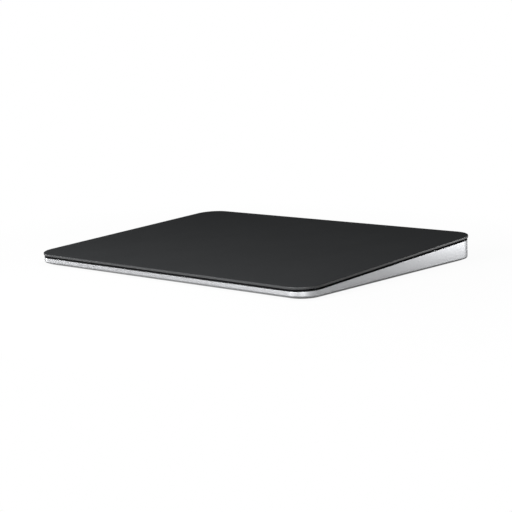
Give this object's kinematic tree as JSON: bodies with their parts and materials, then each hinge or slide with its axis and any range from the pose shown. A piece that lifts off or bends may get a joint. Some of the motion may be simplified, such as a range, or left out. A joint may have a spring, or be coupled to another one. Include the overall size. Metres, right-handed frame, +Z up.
{
  "type": "trackpad",
  "caption": "Low wedge-shaped wireless trackpad: a satin black glass plate that floats on force beams over an aluminium tray with battery, haptic magnet, charging port and slide switch.",
  "frame": {"origin": "centre of the footprint, on the desk under the feet", "axes": "+X to the user's right along the long side, +Y away from the user towards the raised rear edge with the charging port, +Z up"},
  "size_m": [0.16, 0.1149, 0.0109],
  "materials": {
    "anodised_aluminium": "bead-blasted and anodised, satin silver",
    "black_glass": "etched to a fine satin on top, back-printed black",
    "black_gasket": "matt",
    "foot_rubber": "matt, pale grey",
    "sheet_aluminium": "rolled",
    "adhesive_film": "tacky film",
    "circuit_board": "black solder mask",
    "flexible_circuit": "polyimide film over copper",
    "chip_resin": "moulded epoxy",
    "ferrite": "pressed ferrite",
    "ceramic": "sintered ceramic",
    "shield_steel": "pressed, plated",
    "black_plastic": "moulded",
    "gold_contacts": "gold plated",
    "on_tab_green": "bright green",
    "screw_steel": "blackened",
    "spring_steel": "rolled, stamped",
    "soft_gel": "soft silicone gel",
    "battery_pouch": "black laminate foil",
    "core_steel": "laminated electrical steel",
    "copper": "enamelled copper",
    "coax_jacket": "extruded jacket",
    "plug_metal": "plated"
  },
  "bodies": {
    "case": {"antenna_bridge": "black_plastic", "antenna_cable": "coax_jacket", "antenna_plug": "plug_metal", "antenna_strip": "copper", "battery_adhesive": "adhesive_film", "battery_cell": "battery_pouch", "battery_guard_board": "circuit_board", "battery_lead": "flexible_circuit", "battery_socket": "black_plastic", "beam_screws": "screw_steel", "board_capacitors": "ceramic", "board_inductors": "ferrite", "charge_controller_chip": "chip_resin", "charge_port_bracket": "shield_steel", "charge_port_contacts": "gold_contacts", "charge_port_screws": "screw_steel", "charge_port_shell": "shield_steel", "charge_port_tongue": "black_plastic", "foot_front_left": "foot_rubber", "foot_front_right": "foot_rubber", "foot_rear_left": "foot_rubber", "foot_rear_right": "foot_rubber", "force_flex_left": "flexible_circuit", "force_flex_plugs": "black_plastic", "force_flex_right": "flexible_circuit", "haptic_coils": "copper", "haptic_core": "core_steel", "haptic_driver_chip": "chip_resin", "haptic_frame": "spring_steel", "haptic_screws": "screw_steel", "logic_board": "circuit_board", "logic_board_screws": "screw_steel", "lower_case": "anodised_aluminium", "main_processor": "chip_resin", "radio_shield_can": "shield_steel", "rim_gasket": "black_gasket", "strain_gauges": "flexible_circuit", "switch_backplate": "black_plastic", "switch_housing": "black_plastic", "switch_on_tab": "on_tab_green", "switch_screws": "screw_steel", "touch_flex_socket": "black_plastic", "touch_flex": "flexible_circuit"},
    "force_beams": {"force_beam_front_left": "spring_steel", "force_beam_front_right": "spring_steel", "force_beam_rear_left": "spring_steel", "force_beam_rear_right": "spring_steel", "gel_pads": "soft_gel"},
    "touch_plate": {"touch_glass": "black_glass", "glass_adhesive": "adhesive_film", "sensor_board": "circuit_board", "plate_adhesive": "adhesive_film", "stiffener_plate": "sheet_aluminium", "touch_controller": "chip_resin", "haptic_armature": "core_steel", "armature_screws": "screw_steel"},
    "switch_slider": {"switch_knob": "anodised_aluminium", "switch_carriage": "black_plastic"}
  },
  "joints": [
    {"name": "surface_press", "type": "slide", "parent": "case", "child": "force_beams", "axis": [0, 0.0521, -0.9986], "range_m": [0, 0.0002], "stiffness_N_per_m": 5000, "springref_m": -0.0005, "deforming": ["force_beam_front_left", "force_beam_front_right", "force_beam_rear_left", "force_beam_rear_right", "touch_flex"]},
    {"name": "haptic_shift", "type": "slide", "parent": "force_beams", "child": "touch_plate", "axis": [1, 0, 0], "range_m": [-0.0002, 0.0002], "stiffness_N_per_m": 10000},
    {"name": "switch_slide", "type": "slide", "parent": "case", "child": "switch_slider", "axis": [-1, 0, 0], "range_m": [0, 0.0032]}
  ]
}
